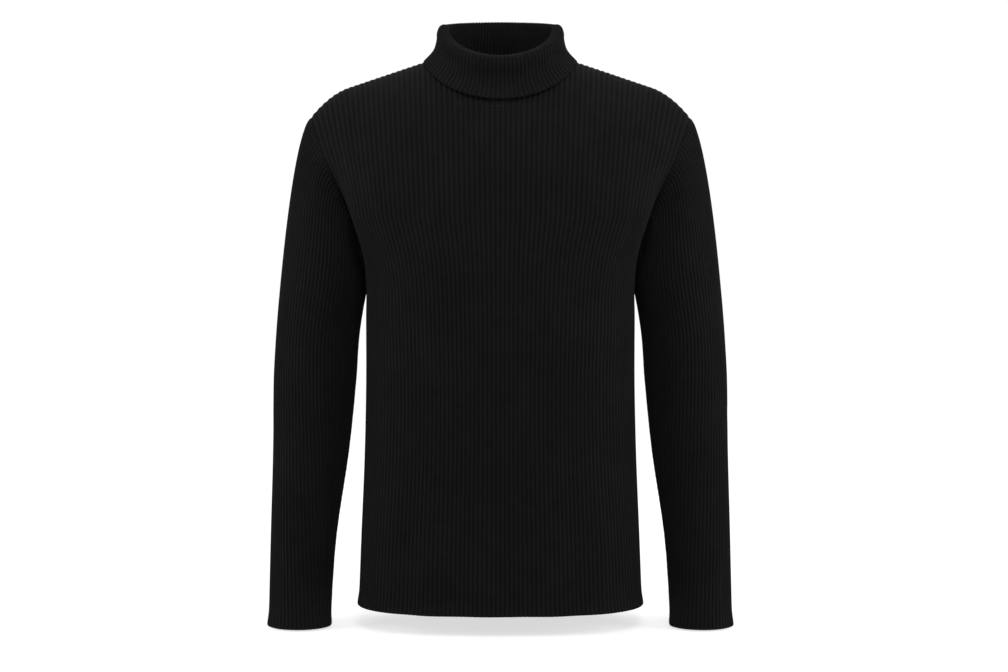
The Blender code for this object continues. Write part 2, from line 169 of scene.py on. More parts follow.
NECK_SEAM_ROOM = 0.004  # added to the stand's distance from its seam, so it has no groove
NECK_SEAM_LAP = 0.0010  # the stand laps over the panels' edge by so much
NECK_SEAM_LIFT = 0.0012  # the neck's overlock lies so far out from the panels' valleys

# Soft folds: each runs from one end to the other, in metres across and up the piece, and
# is a trough where its depth is negative. Across is +X on a panel, and round the arm from
# the outside towards the front on a sleeve.
Fold = namedtuple("Fold", "across up end_across end_up width depth")
FRONT_FOLDS = (
    Fold(-0.118, -0.760, -0.104, -0.440, 0.012, -0.0022),
    Fold(-0.092, -0.740, -0.080, -0.520, 0.013, 0.0016),
    Fold(-0.052, -0.770, -0.046, -0.400, 0.015, -0.0018),
    Fold(-0.012, -0.750, -0.020, -0.480, 0.014, 0.0012),
    Fold(0.030, -0.760, 0.022, -0.430, 0.014, -0.0019),
    Fold(0.066, -0.740, 0.060, -0.540, 0.012, 0.0013),
    Fold(0.096, -0.770, 0.086, -0.420, 0.013, -0.0020),
    Fold(0.131, -0.740, 0.120, -0.500, 0.011, 0.0015),
    Fold(-0.160, -0.250, -0.120, -0.310, 0.010, -0.0016),
    Fold(0.160, -0.252, 0.118, -0.320, 0.010, -0.0014),
    Fold(-0.166, -0.262, -0.140, -0.360, 0.009, -0.0012),
    Fold(0.166, -0.266, 0.142, -0.350, 0.009, -0.0013),
    Fold(-0.196, -0.110, -0.150, -0.230, 0.013, -0.0012),
    Fold(0.196, -0.112, 0.152, -0.226, 0.013, -0.0014),
)
BACK_FOLDS = (
    Fold(-0.110, -0.750, -0.100, -0.430, 0.013, -0.0020),
    Fold(-0.064, -0.770, -0.058, -0.470, 0.014, 0.0015),
    Fold(-0.020, -0.740, -0.026, -0.400, 0.015, -0.0018),
    Fold(0.034, -0.760, 0.028, -0.510, 0.013, 0.0013),
    Fold(0.082, -0.770, 0.074, -0.420, 0.014, -0.0021),
    Fold(0.126, -0.740, 0.116, -0.490, 0.012, 0.0014),
    Fold(-0.070, -0.350, 0.020, -0.372, 0.012, -0.0016),
    Fold(-0.010, -0.392, 0.080, -0.378, 0.011, -0.0014),
    Fold(-0.164, -0.252, -0.110, -0.320, 0.011, -0.0015),
    Fold(0.164, -0.250, 0.112, -0.310, 0.011, -0.0016),
)
LEFT_SLEEVE_FOLDS = (
    Fold(0.020, -0.395, 0.110, -0.425, 0.009, -0.0018),
    Fold(0.040, -0.425, 0.125, -0.448, 0.008, -0.0015),
    Fold(0.000, -0.440, 0.090, -0.470, 0.010, -0.0013),
    Fold(0.085, -0.300, 0.130, -0.360, 0.010, -0.0016),
    Fold(-0.130, -0.330, -0.070, -0.380, 0.011, -0.0015),
    Fold(-0.120, -0.420, -0.040, -0.450, 0.010, -0.0014),
    Fold(0.030, -0.740, 0.046, -0.560, 0.010, -0.0010),
    Fold(-0.050, -0.740, -0.040, -0.580, 0.010, -0.0010),
)
RIGHT_SLEEVE_FOLDS = (
    Fold(0.028, -0.402, 0.104, -0.436, 0.009, -0.0017),
    Fold(0.036, -0.436, 0.120, -0.460, 0.009, -0.0016),
    Fold(0.004, -0.456, 0.080, -0.484, 0.010, -0.0012),
    Fold(0.090, -0.310, 0.128, -0.372, 0.010, -0.0015),
    Fold(-0.126, -0.340, -0.074, -0.386, 0.010, -0.0015),
    Fold(-0.116, -0.432, -0.046, -0.456, 0.011, -0.0013),
    Fold(0.026, -0.740, 0.040, -0.575, 0.010, -0.0011),
    Fold(-0.044, -0.740, -0.038, -0.560, 0.010, -0.0009),
)
FOLD_FULLNESS = 0.7  # under 1 keeps a fold deep nearer to its ends
FOLD_CLEARANCE = 0.03  # how far from a seam a fold reaches its full depth

# Waves of a slow unevenness, in radians a metre across and up
Wave = namedtuple("Wave", "across up start")
DRIFT = (
    Wave(23, 9, 0.4),
    Wave(-14, 21, 1.7),
    Wave(37, -17, 2.9),
    Wave(51, 6, 0.2),
    Wave(-29, 33, 4.1),
)
TUBE_DRIFT = 2.0  # on a tube they follow each other so much more closely across

HEM_ROLL = 0.0018  # how far a hem or cuff turns outwards
HEM_ROLL_HEIGHT = 0.011

# Overlocked seams along the inside
SEAM_STEP = 0.0011
SEAM_HALF_WIDTH = 0.0021
SEAM_HALF_THICKNESS = 0.0008
SEAM_STANDOFF = 0.4  # how far the seam's middle is past the wall, in half thicknesses
SEAM_LOOPS = 0.0026  # length of one overlock loop
SEAM_SWELL = 0.22
THREAD_SIDES = 6
THREAD_PITCH = 0.0005  # length of thread that counts as one rib pitch in the knit's map

# Two short rows of machine stitches below the collar, over the ribs
STITCH_ROWS = (-0.0634, -0.0676)
STITCH_HALF_SPAN = 0.033
STITCH_PITCH = 0.0037
STITCH_HALF_LENGTH = 0.0014
STITCH_RADIUS = 0.00050
STITCH_STATIONS = 7
STITCH_TIP = 0.02  # keeps a stitch's ends from closing to a point
STITCH_WAY = (0.0, -0.8, 0.6)  # out of the yoke where the stitches lie
STITCH_REACH = 15  # ribs on each side of the middle that the stitches may lie over
STITCH_FOLLOW = 0.25  # share of the ribs' height that a taut stitch follows
STITCH_PULL = 0.55  # share of the ribs' height that a row of stitches takes
STITCH_PULL_WIDTH = 0.0013
STITCH_PULL_FADE = 0.003

# Colours and finish
KNIT_BLACK = 0.0030
COLLAR_BLACK = 0.0028
THREAD_BLACK = 0.0075
# Painted light: the knit is made lighter in a band at the hem and at the cuffs
HEM_PAINTED_LIGHT = (4.0, 1.22)  # painted light: rib pitches at the edge that are made lighter, and how much lighter
CUFF_PAINTED_LIGHT = (11.0, 1.40)
WALES_PER_RIB = 4.0
COURSES_PER_PITCH = 4.0
LOOP_SLANT = 1.3  # how steeply the two sides of a V stitch lean
LOOP_FALL = 1.7  # how fast a loop sinks towards its sides
KNIT_ROUGHNESS = 0.85
THREAD_ROUGHNESS = 0.6
GROOVE_ROUGHNESS = 0.98
BUMP_SHARE = 0.55
BUMP_HEIGHT = 0.0004
FIBRE_HEIGHT = 0.35  # against a stitch's
KNIT_SHINE = 0.03
KNIT_SHEEN = 0.01
KNIT_SHEEN_ROUGHNESS = 0.6

# Tone from the low to the high end of what it follows
# Painted shade: darker in the rib valleys, and painted light on the crests
RIB_PAINTED_SHADE_TONES = (0.66, 1.18)
# Painted shade: darker in the grooves between the loops of a stitch
LOOP_PAINTED_SHADE_TONES = (0.72, 1.15)
Noise = namedtuple("Noise", "scale low_tone high_tone")
FIBRE = Noise(1500.0, 0.86, 1.14)
MOTTLE = Noise(60.0, 0.86, 1.14)
CLOUDS = Noise(14.0, 0.87, 1.13)
NOISE_DETAIL = 3.0
NOISE_SPAN = (0.3, 0.7)  # most of the noise's values are in this

# Camera and stage
CAMERA_PLACE = (0.0045, -3.0, -0.1748)
CAMERA_DIP = math.radians(3.27)
CAMERA_LENS = 85.714
CAMERA_SENSOR = 36.0
FLOOR_GAP = 0.0028  # the cuffs hang so far above the floor
FLOOR_HEIGHT = CUFF_HEIGHT - FLOOR_GAP
FLOOR_SIZE = 60.0
FLOOR_GLOW = 0.66
FLOOR_WHITE = 0.36
SKY_GLOW = 1.02

Softbox = namedtuple("Softbox", "x y z aim_z size spread energy")
SOFTBOXES = (
    Softbox(0.15, -1.80, 1.40, 0.05, 1.0, 45.0, 4.4),
    Softbox(-2.40, -0.90, 0.40, -0.25, 1.2, 70.0, 8.2),
    Softbox(2.40, -0.90, 0.40, -0.25, 1.2, 70.0, 8.7),
)

# Shared geometry


def unit(vectors):
    return vectors / np.maximum(np.linalg.norm(vectors, axis=-1, keepdims=True), 1e-12)


def ease(share):
    share = np.clip(share, 0.0, 1.0)
    return share * share * (3.0 - 2.0 * share)


def bell(distance, width):
    return np.exp(-((distance / width) ** 2))


def hermite(start, end, start_slope, end_slope, share):
    square, cube = share**2, share**3
    return (
        start * (2 * cube - 3 * square + 1)
        + end * (3 * square - 2 * cube)
        + start_slope * (cube - 2 * square + share)
        + end_slope * (cube - square)
    )


def smooth(rows, column, key):
    """Values of a table's column at keys of its first column, on a smooth curve."""
    keys = np.array([row[0] for row in rows])
    values = np.array([getattr(row, column) for row in rows], float)
    spans = np.diff(keys)
    slopes = np.empty_like(values)
    slopes[1:-1] = (values[2:] - values[:-2]) / (keys[2:] - keys[:-2])
    slopes[0] = (values[1] - values[0]) / spans[0]
    slopes[-1] = (values[-1] - values[-2]) / spans[-1]
    low = np.clip(np.searchsorted(keys, key, side="right") - 1, 0, len(rows) - 2)
    share = np.clip((key - keys[low]) / spans[low], 0.0, 1.0)
    start_slope, end_slope = slopes[low] * spans[low], slopes[low + 1] * spans[low]
    return hermite(values[low], values[low + 1], start_slope, end_slope, share)


def lengths_along(points):
    steps = np.linalg.norm(np.diff(points, axis=0), axis=1)
    return np.concatenate(([0.0], np.cumsum(steps)))


def at_shares(points, values, shares):
    """Values at shares of the length of a row of points."""
    lengths = lengths_along(points)
    target = np.clip(shares, 0.0, 1.0) * lengths[-1]
    return np.stack([np.interp(target, lengths, column) for column in values.T], axis=-1)


def normals_of(grid, closed=False):
    """Unit normals of a grid whose rows run up and whose columns run across."""
    if closed:
        sideways = np.roll(grid, -1, axis=1) - np.roll(grid, 1, axis=1)
    else:
        sideways = np.gradient(grid, axis=1)
    return unit(np.cross(sideways, np.gradient(grid, axis=0)))


def from_end(grid, axis, last):
    """Distance of each point from the first or last row or column, along the grid."""
    steps = np.linalg.norm(np.diff(grid, axis=axis), axis=-1)
    zero = np.zeros_like(np.take(steps, [0], axis=axis))
    lengths = np.concatenate((zero, np.cumsum(steps, axis=axis)), axis=axis)
    return np.take(lengths, [-1], axis=axis) - lengths if last else lengths


def fold_height(folds, across, up):
    """How far the folds raise the cloth, each fading towards its ends and sides."""
    total = np.zeros(np.broadcast(across, up).shape)
    for fold in folds:
        run_across, run_up = fold.end_across - fold.across, fold.end_up - fold.up
        away, above = across - fold.across, up - fold.up
        held = (away * run_across + above * run_up) / (run_across**2 + run_up**2)
        held = np.clip(held, 0.0, 1.0)
        aside = np.hypot(away - held * run_across, above - held * run_up)
        total += fold.depth * bell(aside, fold.width) * np.sin(math.pi * held) ** FOLD_FULLNESS
    return total


def drift(across, up):
    """A slow, slight unevenness of hand, at most one high."""
    waves = (np.sin(wave.across * across + wave.up * up + wave.start) for wave in DRIFT)
    return sum(waves) / len(DRIFT)


def rib_wave(rib):
    """Height of the knit across the ribs, from 0 in a valley to 1 on a crest."""
    return (0.5 - 0.5 * np.cos(math.tau * rib)) ** RIB_FULLNESS


def with_close_rows(levels, length, ends):
    """Adds rows near the ends of a run of levels, where a seam or an edge bends it.

    The length is that of the cloth from the first level to the last.
    """
    near = np.array(CLOSE_ROWS) / length * (levels[-1] - levels[0])
    extra = []
    if "first" in ends:
        extra.append(levels[0] + near)
    if "last" in ends:
        extra.append(levels[-1] - near)
    return np.unique(np.concatenate([levels, *extra]))


def surface_height(ribs, sewn, across, up):
    """Height of the ribs over the valleys, less the grooves along the seams."""
    share = SEAM_RELIEF + (1.0 - SEAM_RELIEF) * ease(sewn / SEAM_REACH)
    ribbed = RIB_RELIEF * rib_wave(ribs) * (1.0 + RIB_UNEVENNESS * drift(across, up)) * share
    return ribbed - SEAM_DIP * bell(sewn, SEAM_DIP_WIDTH)


# Meshes


def part_of(grid, *cut):
    """The same rows and columns of a grid's point numbers and places."""
    return tuple(values[cut] for values in grid)


class Shell:
    """Gathers one piece's points and faces, with each corner's place in the knit.

    A grid in the shell is a pair: an array of point numbers and an array of places.
    """

    def __init__(self):
        self.points, self.faces, self.places = [], {3: [], 4: []}, {3: [], 4: []}
        self.count = 0

    def grid(self, points, places, closed=False):
        """Adds a grid's points; a closed one has its first column again at the end,
        where its places run on."""
        rows, columns = points.shape[:2]
        numbers = self.count + np.arange(rows * columns).reshape(rows, columns)
        self.points.append(points.reshape(-1, 3))
        self.count += rows * columns
        if closed:
            numbers = np.hstack((numbers, numbers[:, :1]))
        return numbers, places

    def add(self, numbers, places):
        """Adds faces, given as one array for each corner."""
        self.faces[len(numbers)].append(np.stack(numbers, axis=1))
        self.places[len(numbers)].append(np.stack(places, axis=1))

    def quads(self, grid):
        corners = []
        for values in grid:
            cut = (values[:-1, :-1], values[:-1, 1:], values[1:, 1:], values[1:, :-1])
            corners.append([part.reshape(-1, *values.shape[2:]) for part in cut])
        self.add(*corners)

    def band(self, one, two):
        """Faces between two rows of as many points."""
        self.quads((np.stack((one[0], two[0])), np.stack((one[1], two[1]))))

    def fan(self, fine, coarse):
        """Faces between a fine row and one with a point for each LINING_STEP of it."""
        small = np.arange(len(fine[0]) - 1)
        owner = (small + LINING_STEP // 2) // LINING_STEP
        large = np.arange(len(coarse[0]) - 1)
        middle = large * LINING_STEP + LINING_STEP // 2
        self.add(*([a[small], a[small + 1], b[owner]] for a, b in zip(fine, coarse)))
        self.add(*([b[large], a[middle], b[large + 1]] for a, b in zip(fine, coarse)))

    def edge(self, outer, lining, points, lined):
        """A rounded edge between the end rows of the outer face and of the lining.

        points are the outer face's from that end on, and lined the lining's end row.
        """
        closed = len(outer[0]) > points.shape[1]
        shares = np.arange(points.shape[1]) / (len(outer[0]) - 1)
        stations = np.linspace(0.0, 1.0, len(lined))
        inner = np.stack([np.interp(shares, stations, axis) for axis in lined.T], axis=-1)
        way = unit(points[0] - points[1])
        rims = [outer]
        for share in EDGE_RINGS:
            ring = points[0] + (inner - points[0]) * share
            ring = ring + way * EDGE_ROUND * math.sin(math.pi * share)
            rims.append(part_of(self.grid(ring[None], outer[1][None], closed), 0))
            self.band(*rims[-2:])
        self.fan(rims[-1], lining)
        for end in () if closed else (0, -1):
            for pair in zip(rims, rims[1:]):
                self.add(*([row[index][[end]] for row in (*pair, lining)] for index in (0, 1)))

    def finish(self, name, material):
        mesh = bpy.data.meshes.new(name)
        sizes = [size for size in (4, 3) if self.faces[size]]
        faces = [np.concatenate(self.faces[size]) for size in sizes]
        places = [np.concatenate(self.places[size]).reshape(-1, 2) for size in sizes]
        lengths = np.concatenate([np.full(len(part), part.shape[1]) for part in faces])
        corners = np.concatenate([part.ravel() for part in faces])
        mesh.vertices.add(self.count)
        mesh.vertices.foreach_set("co", np.concatenate(self.points).ravel())
        mesh.loops.add(len(corners))
        mesh.loops.foreach_set("vertex_index", corners)
        mesh.polygons.add(len(lengths))
        mesh.polygons.foreach_set("loop_start", np.cumsum(lengths) - lengths)
        mesh.update(calc_edges=True)
        knit_map = mesh.uv_layers.new(name="Knit")
        knit_map.uv.foreach_set("vector", np.concatenate(places).ravel())
        whole = bmesh.new()
        whole.from_mesh(mesh)
        bmesh.ops.recalc_face_normals(whole, faces=whole.faces)
        whole.to_mesh(mesh)
        whole.free()
        mesh.shade_smooth()
        mesh.materials.append(material)
        piece = bpy.data.objects.new(name, mesh)
        bpy.context.scene.collection.objects.link(piece)
        return piece


# Body


def section_point(side, ribs, heights):
    """Distance from the middle and depth of ribs of a panel at heights."""
    column = "front" if side == FRONT else "back"
    half_width = smooth(BODY_SECTIONS, "half_width", heights)[:, None]
    depth = smooth(BODY_SECTIONS, column, heights)[:, None]
    power = 2.0 / smooth(BODY_SECTIONS, "squareness", heights)[:, None]
    turns = np.linspace(0.0, math.pi / 2, SECTION_STEPS + 1)[None, :]
    across = half_width * np.sin(turns) ** power
    ahead = depth * np.maximum(np.cos(turns), 0.0) ** power
    steps = np.hypot(np.diff(across, axis=1), np.diff(ahead, axis=1))
    lengths = np.hstack((np.zeros((len(steps), 1)), np.cumsum(steps, axis=1)))
    target = np.abs(ribs)[:, None] / SIDE_RIBS * lengths[:, -1:]
    low = np.clip((lengths <= target).sum(axis=1, keepdims=True) - 1, 0, SECTION_STEPS - 1)
    part = (target - np.take_along_axis(lengths, low, 1)) / np.take_along_axis(steps, low, 1)

    def at(values):
        start, end = (np.take_along_axis(values, low + step, 1) for step in (0, 1))
        return (start + (end - start) * part)[:, 0]

    return np.copysign(at(across), ribs), at(ahead)


def armhole_height(ribs):
    inward = np.clip((SIDE_RIBS - np.abs(ribs)) / (SIDE_RIBS - ARMHOLE_RIBS), 0.0, 1.0)
    return UNDERARM_HEIGHT + (CHEST_HEIGHT - UNDERARM_HEIGHT) * inward**ARMHOLE_CURVE


def shoulder_height(across):
    outward = np.abs(across)
    past_bend = np.maximum(outward - SHOULDER_BEND, 0.0)
    return -SHOULDER_SLOPE * (outward - NECK_HALF_WIDTH) - SHOULDER_ROUNDING * past_bend**2


def top_turn(side, ribs):
    """How far ribs turn over the shoulder: to the ridge, or to the neck seam."""
    scoop = np.maximum(1.0 - (ribs / NECK_RIBS) ** 2, 0.0) ** NECK_CURVE
    return math.radians(90.0) + (NECK_TURN[side] - math.radians(90.0)) * scoop


def tuck_share(ribs, level):
    """How much of the tuck an armhole has at a level of the yoke or a rib under the arm."""
    under = np.clip((np.abs(ribs) - ARMHOLE_RIBS) / (SIDE_RIBS - ARMHOLE_RIBS), 0.0, 1.0)
    return ease((TUCK_START - level) / TUCK_RISE) * (1.0 - ease(under))


def tuck(ribs, level):
    """Share of the tuck at points of a row."""
    aside = np.maximum(ARMHOLE_RIBS - np.abs(ribs), 0.0) * RIB_PITCH
    below = (armhole_height(ribs) - HEM_HEIGHT) * max(1.0 - level, 0.0)
    return bell(np.hypot(aside, below * TUCK_RUN), TUCK_WIDTH) * tuck_share(ribs, max(level, 1.0))


def body_row(side, ribs, level):
    """Points in the valleys; ribs count up towards +X on the front and -X on the back."""
    tucked = tuck(ribs, level)
    if level <= 1.0:
        height = HEM_HEIGHT + (armhole_height(ribs) - HEM_HEIGHT) * level
        across, depth = section_point(side, ribs, height)
        across = across - np.copysign(TUCK_INWARD * tucked, ribs)
        depth = depth - TUCK_DEPTH * tucked + SEAM_GAP / 2
        return np.stack((-side * across, side * depth, height), axis=-1)
    across, depth = section_point(side, ribs, np.full_like(ribs, CHEST_HEIGHT))
    turn = top_turn(side, ribs) * (level - 1.0)
    power = 2.0 / SHOULDER_FULLNESS[side]
    rise = np.sin(turn) ** power
    fall = np.maximum(np.cos(turn), 0.0) ** power
    top = SHOULDER_HALF_WIDTH * ribs / ARMHOLE_RIBS
    across = across + (top - across) * np.sin(turn)
    outward = np.minimum(np.abs(ribs) / ARMHOLE_RIBS, 1.0)
    ridge = NECK_SEAM_SETBACK + (SLEEVE_SEAM_SETBACK - NECK_SEAM_SETBACK) * outward
    across = across - np.copysign(TUCK_INWARD * tucked, ribs)
    y = ridge + (side * depth - ridge) * fall + side * (SEAM_GAP / 2 - TUCK_DEPTH * tucked)
    z = CHEST_HEIGHT + (shoulder_height(top) - CHEST_HEIGHT) * rise
    return np.stack((-side * across, y, z), axis=-1)


# Columns of a panel: the rib number of each, the run that goes on up the yoke between the
# armholes, and the run of the yoke's that ends at the neck
SIDE_COLUMNS = SIDE_RIBS * COLUMNS_PER_RIB
PANEL_RIBS = np.arange(-SIDE_COLUMNS, SIDE_COLUMNS + 1) / COLUMNS_PER_RIB
UNDERARM_COLUMNS = (SIDE_RIBS - ARMHOLE_RIBS) * COLUMNS_PER_RIB
SHOULDER_COLUMNS = (ARMHOLE_RIBS - NECK_RIBS) * COLUMNS_PER_RIB
HALF_NECK_COLUMNS = NECK_RIBS * COLUMNS_PER_RIB
YOKE = slice(UNDERARM_COLUMNS, -UNDERARM_COLUMNS)
NECK = slice(SHOULDER_COLUMNS, -SHOULDER_COLUMNS)
LINING = slice(None, None, LINING_STEP)


class Panel:
    """The front or back as a body grid up to the chest line and a yoke grid above it."""

    def __init__(self, side, folds):
        self.side = side
        body_levels = np.linspace(0.0, 1.0, BODY_ROWS)
        body_levels = with_close_rows(body_levels, BODY_RUN, ("first", "last"))
        yoke_levels = with_close_rows(np.linspace(1.0, 2.0, YOKE_ROWS), YOKE_RUN, ("last",))
        body = np.stack([body_row(side, PANEL_RIBS, level) for level in body_levels])
        yoke = np.stack([body_row(side, PANEL_RIBS[YOKE], level) for level in yoke_levels])
        yoke[0] = body[-1, YOKE]
        body_ways, yoke_ways = normals_of(body), normals_of(yoke)
        body_ways[-1, YOKE] = unit(body_ways[-1, YOKE] + yoke_ways[0])
        yoke_ways[0] = body_ways[-1, YOKE]
        self.edge = self.armhole_edge(body, yoke, body_ways, yoke_ways, yoke_levels)
        self.plain = {"body": body, "yoke": yoke}
        self.ways = {"body": body_ways, "yoke": yoke_ways}
        self.ribs = {"body": PANEL_RIBS, "yoke": PANEL_RIBS[YOKE]}
        self.sewn = {part: self.from_seams(part) for part in self.plain}
        for part, points in self.plain.items():
            across, up = points[..., 0], points[..., 2]
            lift = fold_height(folds, across, up) * ease(self.sewn[part] / FOLD_CLEARANCE)
            lift = lift + HEM_ROLL * bell(up - HEM_HEIGHT, HEM_ROLL_HEIGHT)
            self.plain[part] = points + self.ways[part] * lift[..., None]

    def armhole_edge(self, body, yoke, body_ways, yoke_ways, levels):
        """The armhole at +X from the shoulder down: its points and the sleeve's way on."""
        end = -1 if self.side == FRONT else 0
        below = np.flatnonzero(PANEL_RIBS * -self.side > ARMHOLE_RIBS)[:: -self.side]
        points = np.concatenate((yoke[::-1, end], body[-1, below]))
        ways = np.concatenate((yoke_ways[::-1, end], body_ways[-1, below]))
        tangents = unit(np.gradient(points, axis=0))
        onward = unit(np.cross(ways, tangents) * -self.side)
        tucked = np.concatenate((tuck_share(ARMHOLE_RIBS, levels[::-1]), np.ones(len(below))))
        out = unit(np.array(TUCK_WAY) * (1.0, self.side, 1.0))
        onward = unit(onward + (out - onward) * tucked[:, None])
        beyond = np.abs(PANEL_RIBS[below]) - ARMHOLE_RIBS
        beyond = np.concatenate((np.zeros(len(yoke)), beyond / (SIDE_RIBS - ARMHOLE_RIBS)))
        under = ease(beyond * UNDERARM_TURN)[:, None]
        return points, unit(onward + (unit(np.array(UNDERARM_WAY)) - onward) * under)

    def neck_edge(self):
        """Points of the neck seam from the middle to the +X shoulder."""
        points = self.plain["yoke"][-1, NECK][:: -self.side]
        return points[HALF_NECK_COLUMNS:]

    def neck_seam(self):
        """The whole neck seam of the panel, with its outward ways."""
        ways = self.ways["yoke"][-1, NECK]
        return self.plain["yoke"][-1, NECK] + ways * NECK_SEAM_LIFT, ways

    def from_seams(self, part):
        """How far the points of a grid are from the nearest sewn edge."""
        points = self.plain[part]
        sides = np.minimum(from_end(points, 1, False), from_end(points, 1, True))
        above = from_end(points, 0, True)
        if part == "body":
            short = np.maximum(ARMHOLE_RIBS - np.abs(PANEL_RIBS), 0.0) * RIB_PITCH
            above = np.hypot(above, short)
        return np.minimum(sides, above)

    def faces_of(self, part):
        """The outer face with its ribs, the lining, and places in the knit."""
        points, ways, ribs = self.plain[part], self.ways[part], self.ribs[part]
        height = surface_height(ribs, self.sewn[part], points[..., 0], points[..., 2])
        if self.side == FRONT:
            height = height * (1.0 - STITCH_PULL * stitched(points))
        outer = points + ways * height[..., None]
        depth = WALL - LINING_RELIEF * rib_wave(ribs[LINING])
        lined = points[:, LINING] - ways[:, LINING] * depth[:, None]
        along = from_end(points, 0, False)
        if part == "yoke":
            along = along + from_end(self.plain["body"], 0, False)[-1, YOKE]
        places = np.stack((np.broadcast_to(ribs, along.shape), along / RIB_PITCH), axis=-1)
        return outer, lined, places

    def build(self, name, material):
        shell = Shell()
        outer, lined, places = self.faces_of("body")
        top_outer, top_lined, top_places = self.faces_of("yoke")
        body = [shell.grid(outer, places), shell.grid(lined, places[:, LINING])]
        yoke = [
            shell.grid(top_outer[1:], top_places[1:]),
            shell.grid(top_lined[1:], top_places[1:, LINING]),
        ]
        under = (UNDERARM_COLUMNS, UNDERARM_COLUMNS // LINING_STEP)
        for face, columns in enumerate(under):
            foot = part_of(body[face], slice(-1, None), slice(columns, -columns))
            yoke[face] = tuple(np.concatenate(pair) for pair in zip(foot, yoke[face]))
            shell.quads(body[face])
            shell.quads(yoke[face])
        shell.edge(*(part_of(grid, 0) for grid in body), outer, lined[0])
        shell.fan(*(part_of(grid, -1) for grid in yoke))
        for grids in (body, yoke):
            for end in (0, -1):
                shell.band(*(part_of(grid, slice(None), end) for grid in grids))
        left = [slice(None, columns + 1) for columns in under]
        right = [slice(-columns - 1, None) for columns in under]
        for cuts in (left, right):
            shell.fan(*(part_of(grid, -1, cut) for grid, cut in zip(body, cuts)))
        return shell.finish(name, material)


def stitched(points):
    """1 where a row of stitches holds the ribs down, and 0 away from it."""
    outside = STITCH_HALF_SPAN + STITCH_PULL_FADE - np.abs(points[..., 0])
    rows = (bell(points[..., 2] - height, STITCH_PULL_WIDTH) for height in STITCH_ROWS)
    return sum(rows) * ease(outside / STITCH_PULL_FADE)


# Tubes: sleeves and collar


def build_tube(name, points, ways, ribs, sewn, wall, edge_row, material):
    """A closed wall round a tube; ribs has one more column, where the count runs on."""
    across = points[..., 0] * TUBE_DRIFT
    height = surface_height(ribs[:, :-1], sewn, across, points[..., 2])
    outer = points + ways * height[..., None]
    depth = wall - LINING_RELIEF * rib_wave(ribs[:, :-1][:, LINING])
    lined = points[:, LINING] - ways[:, LINING] * depth[..., None]
    along = from_end(points, 0, edge_row == -1)
    along = np.hstack((along, along[:, :1])) / RIB_PITCH
    places = np.stack((ribs, along), axis=-1)
    shell = Shell()
    outside = shell.grid(outer, places, closed=True)
    inside = shell.grid(lined, places[:, LINING], closed=True)
    shell.quads(outside)
    shell.quads(inside)
    rims = [part_of(grid, edge_row) for grid in (outside, inside)]
    last = lined[edge_row]
    onward = outer if edge_row == 0 else outer[::-1]
    shell.edge(*rims, onward, np.vstack((last, last[:1])))
    shell.fan(*(part_of(grid, -1 - edge_row) for grid in (outside, inside)))
    return shell.finish(name, material)


def sleeve_ring(turns, height):
    """Points round the arm: turn 0 is outside, 0.25 in front, 0.5 against the body."""
    inner, outer, middle, half_depth = (
        smooth(SLEEVE_SECTIONS, column, height)
        for column in ("inner", "outer", "middle", "half_depth")
    )
    angles = math.tau * turns
    across = (inner + outer) / 2 + (outer - inner) / 2 * np.cos(angles)
    y = middle - half_depth * np.sin(angles)
    return np.stack((across, y, np.full_like(turns, height)), axis=-1)


def sleeve_grid(panels, turns):
    """Valleys of the +X sleeve from the armhole to the cuff, and the rows' heights."""
    start, way = np.empty((len(turns), 3)), np.empty((len(turns), 3))
    for side, chosen in ((FRONT, turns >= 0.0), (BACK, turns < 0.0)):
        points, ways = panels[side].edge
        shares = np.abs(turns[chosen]) * 2.0
        start[chosen] = at_shares(points, points, shares)
        way[chosen] = unit(at_shares(points, ways, shares))
    start += way * SEAM_GAP
    end = sleeve_ring(turns, UPPER_ARM_HEIGHT)
    onward = unit(sleeve_ring(turns, UPPER_ARM_HEIGHT - ARM_STEP) - end)
    under = ease(np.abs(turns) * 2.0)[:, None] ** 2
    leave = CAP_LEAVE_TOP + (CAP_LEAVE_UNDER - CAP_LEAVE_TOP) * under
    arrive = CAP_ARRIVE_TOP + (CAP_ARRIVE_UNDER - CAP_ARRIVE_TOP) * under
    slopes = way * leave * SLOPE_PER_HANDLE, onward * arrive * SLOPE_PER_HANDLE
    levels = with_close_rows(np.linspace(0.0, 1.0, CAP_ROWS), CAP_RUN, ("first",))
    cap = [hermite(start, end, *slopes, level) for level in levels]
    heights = np.linspace(CUFF_HEIGHT, UPPER_ARM_HEIGHT, ARM_ROWS)
    heights = with_close_rows(heights, UPPER_ARM_HEIGHT - CUFF_HEIGHT, ("first",))[::-1]
    arm = [sleeve_ring(turns, height) for height in heights[1:]]
    heights = np.concatenate((np.full(len(cap), UPPER_ARM_HEIGHT), heights[1:]))
    return np.stack(cap + arm), heights


def make_sleeve(name, way, panels, folds, material):
    """A sleeve, and its seams as rows of points with their outward ways."""
    turns = np.arange(-SLEEVE_COLUMNS // 2, SLEEVE_COLUMNS // 2) / SLEEVE_COLUMNS
    points, heights = sleeve_grid(panels, turns)
    ways = normals_of(points, closed=True)
    ribs = smooth(SLEEVE_SECTIONS, "ribs", heights)[:, None] * np.append(turns, 0.5)
    sewn = np.minimum(from_end(points, 0, False), (0.5 - np.abs(turns)) * SLEEVE_GIRTH)
    up = points[..., 2]
    lift = fold_height(folds, turns * SLEEVE_GIRTH, up) * ease(sewn / FOLD_CLEARANCE)
    lift = lift + HEM_ROLL * bell(up - CUFF_HEIGHT, HEM_ROLL_HEIGHT)
    mirror = np.array((way, 1.0, 1.0))
    points, ways = (points + ways * lift[..., None]) * mirror, ways * mirror
    piece = build_tube(name, points, ways, ribs, sewn, WALL, -1, material)
    return piece, (points[0], ways[0]), (points[:, 0], ways[:, 0])


